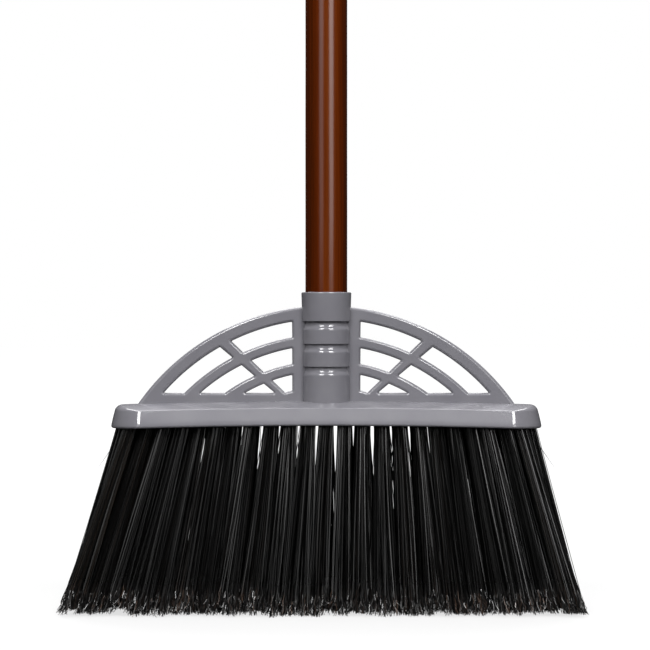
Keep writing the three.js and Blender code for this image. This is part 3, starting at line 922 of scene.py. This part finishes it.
# %% One row of tufts
THREADS_IN_TUFT = 92
THREAD_WIDTH = 0.46
THREAD_STEPS = 5
HAIR_WIDTH = 0.34
SPLIT_LENGTH = 9
CLUMPS_IN_TUFT = 8
TIP_SPREAD = 7
HAIRS = 2
HAIR_CURL = 0.7
HAIR_LEAN = 0.6
ROOT_DEPTH = 4.4
ROOT_SLACK = 0.25
ROOT_STRAY = 0.15
TIP_STRAY = 0.8
CLUMP_STRAY = 0.6
CLUMP_RISE = 0.7
CLUMP_UNEVEN = 2
THREAD_STRAY = 0.8
THREAD_UNEVEN = 0.5
THREAD_BOW = 0.7
WILD_SHARE = 0.07
WILD_STRAY = 2
OPENS_EARLY = 0.8
OPENS_LATE = 1.7
TUFT_SHADE = 0.25
END_CALM = 0.8
END_LIFT = 1.2
ROW_STAGGER = 0.3
FIRST_SEED = 40
GOLDEN_TURN = math.pi * (3 - math.sqrt(5))


def sunflower(k, count):
    reach = math.sqrt((k + 0.5) / count)
    return Vector((math.cos(k * GOLDEN_TURN), math.sin(k * GOLDEN_TURN), 0)) * reach


def drift(chance, size, loose=1):
    return Vector((chance.gauss(0, size) * loose, chance.gauss(0, size), 0))


def add_thread(bundle, chance, place, drop, tone):
    split = 1 - SPLIT_LENGTH * chance.uniform(0.7, 1.4) / drop
    path = [place(split * i / THREAD_STEPS) for i in range(THREAD_STEPS + 1)]
    bundle.thread(path, (THREAD_WIDTH, THREAD_WIDTH * 0.9), tone, 0, split)
    for _ in range(HAIRS):
        curl = drift(chance, HAIR_CURL)
        lean = drift(chance, HAIR_LEAN)
        lean.z = abs(chance.gauss(0, HAIR_LEAN))
        upper = place((1 + 2 * split) / 3) + curl
        lower = place((2 + split) / 3) - curl * 0.6
        hair = [path[-1], upper, lower, place(1) + lean]
        bundle.thread(hair, (THREAD_WIDTH * 0.75, HAIR_WIDTH), chance.random(), split, 1)


def add_tuft(bundle, chance, root, tip, outer):
    loose = 1 - END_CALM * outer
    shade = chance.uniform(0, TUFT_SHADE)
    opening = chance.uniform(OPENS_EARLY, OPENS_LATE)
    clumps = []
    for k in range(CLUMPS_IN_TUFT):
        shift = drift(chance, CLUMP_STRAY, loose)
        shift.z = chance.gauss(CLUMP_RISE, CLUMP_UNEVEN)
        clumps.append((sunflower(k, CLUMPS_IN_TUFT), shift))
    for k in range(THREADS_IN_TUFT):
        ray = sunflower(k, THREADS_IN_TUFT)
        shift = min(clumps, key=lambda clump: (clump[0] - ray).length)[1]
        wild = WILD_STRAY if chance.random() < WILD_SHARE else 1
        stray = drift(chance, THREAD_STRAY, loose)
        stray.z = chance.gauss(0, THREAD_UNEVEN)
        end = tip + shift + stray * wild
        end.z = END_LIFT * outer + max(0, end.z)
        bow = drift(chance, THREAD_BOW, loose)
        tone = shade + chance.uniform(0, 1 - TUFT_SHADE)

        def place(s):
            splay = TUFT_WIDTH / 2 - ROOT_SLACK + (TIP_SPREAD - TUFT_WIDTH / 2) * s ** opening
            return root.lerp(end, s) + ray * splay + bow * math.sin(math.pi * s)

        add_thread(bundle, chance, place, root.z - end.z, tone)


def tuft_row(row):
    chance = random.Random(FIRST_SEED + row)
    bundle = Bundle()
    for tuft in range(TUFTS_IN_ROW):
        step = tuft - LAST_STEP
        outer = (2 * step / TUFTS_IN_ROW) ** 2
        x = tuft_x(row, tuft)
        root = Vector((x + chance.gauss(0, ROOT_STRAY), row_y(row), arch(x) + ROOT_DEPTH))
        stagger = (row % 2 - 0.5) * ROW_STAGGER * (1 - outer)
        tip_x = SWEEP_SIDE + (step + stagger) * SWEEP_WIDTH / TUFTS_IN_ROW
        tip_y = row_y(row) / ROW_PITCH * SWEEP_DEPTH / TUFT_ROWS
        tip = Vector((tip_x, tip_y, 0)) + drift(chance, TIP_STRAY)
        add_tuft(bundle, chance, root, tip, outer)
    return bundle


# %% All four rows
for row in range(TUFT_ROWS):
    bundle = tuft_row(row)
    bristles = blank(f"bristle_row_{row + 1}", bundle.points, bundle.faces)
    for name in ("along", "tone"):
        values = bristles.data.attributes.new(name, "FLOAT", "POINT")
        values.data.foreach_set("value", getattr(bundle, name))
    chart = bristles.data.uv_layers.new(name="OFBake")
    chart.data.foreach_set("uv", [part for place in bundle.map for part in place])
    fit(bristles, filament, "head", f"tuft_row_{row + 1}", False)

# %% [markdown]
# ## Film with a printed wood grain
# The stick is wrapped in a thin PVC film, shrunk on with heat. It is printed with fine streaks of
# red-brown to look like wood and has a hard gloss, so the lamps show as narrow lines. Long
# narrow noise stretched along the stick gives the streaks. The colour also grows paler and darker
# three times round the stick, palest on the side that faces the camera. That is painted sheen,
# standing in for the broad glow of the gloss there, and a wave of the angle gives it. The gloss
# is a clear coat over a dull print.

# %% Printed PVC film
STREAK_WIDTH = 1.1
STREAK_LENGTH = 90
PAINTED_SHEEN_BANDS = 3
PAINTED_SHEEN_SHARE = 0.3
PAINTED_SHEEN_TURN = math.radians(8)

film, tree, shader = new_material("printed_pvc_film")
place = add_node(tree, "ShaderNodeTexCoord").outputs["Object"]
stretch = (scale_for(STREAK_WIDTH), scale_for(STREAK_WIDTH), scale_for(STREAK_LENGTH))
long_way = add_node(tree, "ShaderNodeMapping", {"Scale": stretch}, {"Vector": place})
streak = add_node(tree, "ShaderNodeTexNoise", {"Scale": 1, "Detail": 5, "Roughness": 0.6},
                  {"Vector": long_way.outputs["Vector"]})
# Painted sheen: a wave of the angle round the stick makes the colour paler on the side that faces the
# camera.
turned_way = add_node(tree, "ShaderNodeMapping", {"Rotation": (0, 0, -PAINTED_SHEEN_TURN - math.pi / 2)},
                      {"Vector": place})
around = add_node(tree, "ShaderNodeTexGradient", {"gradient_type": "RADIAL"},
                  {"Vector": turned_way.outputs["Vector"]})
phase = add_node(tree, "ShaderNodeMath", {"operation": "MULTIPLY", 1: PAINTED_SHEEN_BANDS * 2 * math.pi},
                 {0: around.outputs["Fac"]})
painted_sheen_band = add_node(tree, "ShaderNodeMath", {"operation": "COSINE"}, {0: phase.outputs[0]})
# The printed streaks and the painted sheen wave are added together here.
shade = add_node(tree, "ShaderNodeMath", {"operation": "MULTIPLY_ADD", 1: PAINTED_SHEEN_SHARE},
                 {0: painted_sheen_band.outputs[0], 2: streak.outputs["Fac"]})
print_stops = [(0.15, srgb("#3C1400")), (0.5, srgb("#4E1B01")), (0.85, srgb("#5D2704"))]
printed = add_node(tree, "ShaderNodeValToRGB", {"stops": print_stops}, {"Fac": shade.outputs[0]})
tree.links.new(printed.outputs["Color"], shader.inputs["Base Color"])
shader.inputs["Roughness"].default_value = 0.5
shader.inputs["Specular IOR Level"].default_value = 0
shader.inputs["Coat Weight"].default_value = 1
shader.inputs["Coat Roughness"].default_value = 0.17
shader.inputs["Coat IOR"].default_value = 1.53
wrinkle = add_node(tree, "ShaderNodeBump", {"Strength": 0.2, "Distance": 0.04 * MM},
                   {"Height": streak.outputs["Fac"]})
tree.links.new(wrinkle.outputs["Normal"], shader.inputs["Normal"])
print(film.name)

# %% [markdown]
# The film is a thin tube that follows the stick, and a turned stick is never quite true. Its
# radius wanders by a few hundredths of a millimetre, enough to make the bright lines waver.

# %% Film sleeve
HANDLE_RADIUS = 11
HANDLE_LENGTH = 1200
FILM_THICKNESS = 0.3
FILM_ROWS = 160
WAVER = 0.05
WAVER_LENGTH = 45
STICK_FOOT = SHOULDER + 2.3
STICK_TOP = STICK_FOOT + HANDLE_LENGTH


def waver(angle, radius, z):
    around = Vector((math.cos(angle) * 0.9, math.sin(angle) * 0.9, z / WAVER_LENGTH))
    return WAVER * (noise.noise(around) - 1)


levels = [STICK_FOOT + HANDLE_LENGTH * i / FILM_ROWS for i in range(FILM_ROWS + 1)]
outside = [(HANDLE_RADIUS, z) for z in levels]
inside = [(HANDLE_RADIUS - FILM_THICKNESS, z) for z in (STICK_TOP, STICK_FOOT)]
sleeve = turned("handle_film", [*outside, *inside, outside[0]], 96, waver)
fit(sleeve, film, "handle", "film_sleeve")

# %% [markdown]
# ## The stick
# Inside the film is a turned hardwood stick, closed in on all sides. Its CAD solid has the right
# shape, so it stays and gets the wood: pale, dull and uncoated, with year rings stretched along
# the stick.

# %% Turned hardwood
RING_WIDTH = 2.2
RING_LENGTH = 120

wood, tree, shader = new_material("turned_hardwood")
place = add_node(tree, "ShaderNodeTexCoord").outputs["Object"]
stretch = (scale_for(RING_WIDTH), scale_for(RING_WIDTH), scale_for(RING_LENGTH))
long_way = add_node(tree, "ShaderNodeMapping", {"Scale": stretch}, {"Vector": place})
rings = add_node(tree, "ShaderNodeTexNoise", {"Scale": 1, "Detail": 4},
                 {"Vector": long_way.outputs["Vector"]})
wood_stops = [(0.35, srgb("#B08A58")), (0.65, srgb("#D2B285"))]
grain = add_node(tree, "ShaderNodeValToRGB", {"stops": wood_stops}, {"Fac": rings.outputs["Fac"]})
tree.links.new(grain.outputs["Color"], shader.inputs["Base Color"])
fibre = add_node(tree, "ShaderNodeBump", {"Strength": 0.4, "Distance": 0.1 * MM},
                 {"Height": rings.outputs["Fac"]})
tree.links.new(fibre.outputs["Normal"], shader.inputs["Normal"])
shader.inputs["Roughness"].default_value = 0.65
core = bpy.data.objects["wooden_core"]
core.data.materials.clear()
core.data.materials.append(wood)
print(core.name, "is", wood.name)

# %% [markdown]
# ## The screw tip
# A moulded tip with a coarse round thread sits on the stick's end. The thread grows along the same
# helix as the groove in the socket, so it fits at every turn.

# %% Screw tip
TIP_FOOT = SHOULDER - TIP_LENGTH
TIP_NOSE = 2
FLANGE = 2
CUP_RADIUS = 6.5
CUP_DEPTH = 22
THREAD_ROWS = 110

dark_plastic = polypropylene("moulded_polypropylene_black", "#363638", "#2A2A2D")
run = TIP_LENGTH - TIP_NOSE - 0.6
shank = [(THREAD_RADIUS, TIP_FOOT + TIP_NOSE + run * i / THREAD_ROWS) for i in range(THREAD_ROWS + 1)]
nose = eased([(0, TIP_FOOT, 0), (6, TIP_FOOT, 0.6), (THREAD_RADIUS, TIP_FOOT + TIP_NOSE, 0.6),
              (THREAD_RADIUS, TIP_FOOT + TIP_NOSE + 0.6, 0)])
flange = eased([(THREAD_RADIUS, SHOULDER - 0.6, 0), (THREAD_RADIUS, SHOULDER, 0.2),
                (HANDLE_RADIUS, SHOULDER, 0.3), (HANDLE_RADIUS, SHOULDER + FLANGE, 0.3),
                (CUP_RADIUS, SHOULDER + FLANGE, 0)])
cup = [(CUP_RADIUS, SHOULDER - CUP_DEPTH), (0, SHOULDER - CUP_DEPTH)]
male = helix_ridge(THREAD_RIDGE, 1.7, TIP_FOOT + 1.5, SHOULDER - 2)
tip_section = [*nose[:-1], *shank[3:], *flange[1:], *cup]
tip = turned("screw_tip_thread", tip_section, 96, lambda a, r, z: male(a, r, z) if r == THREAD_RADIUS else 0)
fit(tip, dark_plastic, "handle", "screw_tip")

# %% [markdown]
# ## The hanger cap
# A cap closes the top of the stick. It is a cup with a domed roof, and a flat tongue with a
# hanging hole stands on it. The cup is a turned section and the tongue a plate like the fan, so
# the helpers above make both.

# %% Hanger cap
CAP_RADIUS = 12.8
CAP_FOOT = STICK_TOP - 24
CAP_ROOF = STICK_TOP + 3.3
CAP_DOME = 7
TONGUE_HALF = 9
TONGUE_THICKNESS = 7
TONGUE_ROUNDING = 1.5
HOLE_HEIGHT = CAP_ROOF + 26 - TONGUE_HALF
HOLE_RADIUS = 5


def round_part(radius, angles):
    return [Vector((radius * math.cos(a), HOLE_HEIGHT + radius * math.sin(a))) for a in angles]


skirt = [(0, CAP_FOOT, 0), (CAP_RADIUS, CAP_FOOT, 0.6), (CAP_RADIUS, CAP_FOOT + 3, 0.3),
         (CAP_RADIUS - 0.4, CAP_FOOT + 3.6, 0.3), (CAP_RADIUS - 0.2, CAP_ROOF, 0)]
rises = [math.pi * i / 24 for i in range(1, 12)]
dome = [(CAP_RADIUS * math.cos(a), CAP_ROOF + CAP_DOME * math.sin(a), 0) for a in rises]
cap = turned("hanger_cap_shell", eased([*skirt, *dome, (0, CAP_ROOF + CAP_DOME, 0)]))
turns = [math.pi * i / 40 for i in range(41)]
feet = [Vector((-TONGUE_HALF, CAP_ROOF)), Vector((TONGUE_HALF, CAP_ROOF))]
tongue = round_part(TONGUE_HALF, turns) + feet
eye = round_part(HOLE_RADIUS, [2 * a for a in turns[:-1]])
tab = plate("tongue", [tongue, eye], TONGUE_THICKNESS, TONGUE_ROUNDING)
cup = turned("cup", [(0, CAP_FOOT - 1), (SEAT_RADIUS, CAP_FOOT - 1),
                     (SEAT_RADIUS, STICK_TOP + 0.3), (0, STICK_TOP + 0.3)])
carved(cap, ("UNION", tab), ("DIFFERENCE", cup))
fit(cap, grey_plastic, "handle", "hanger_cap")
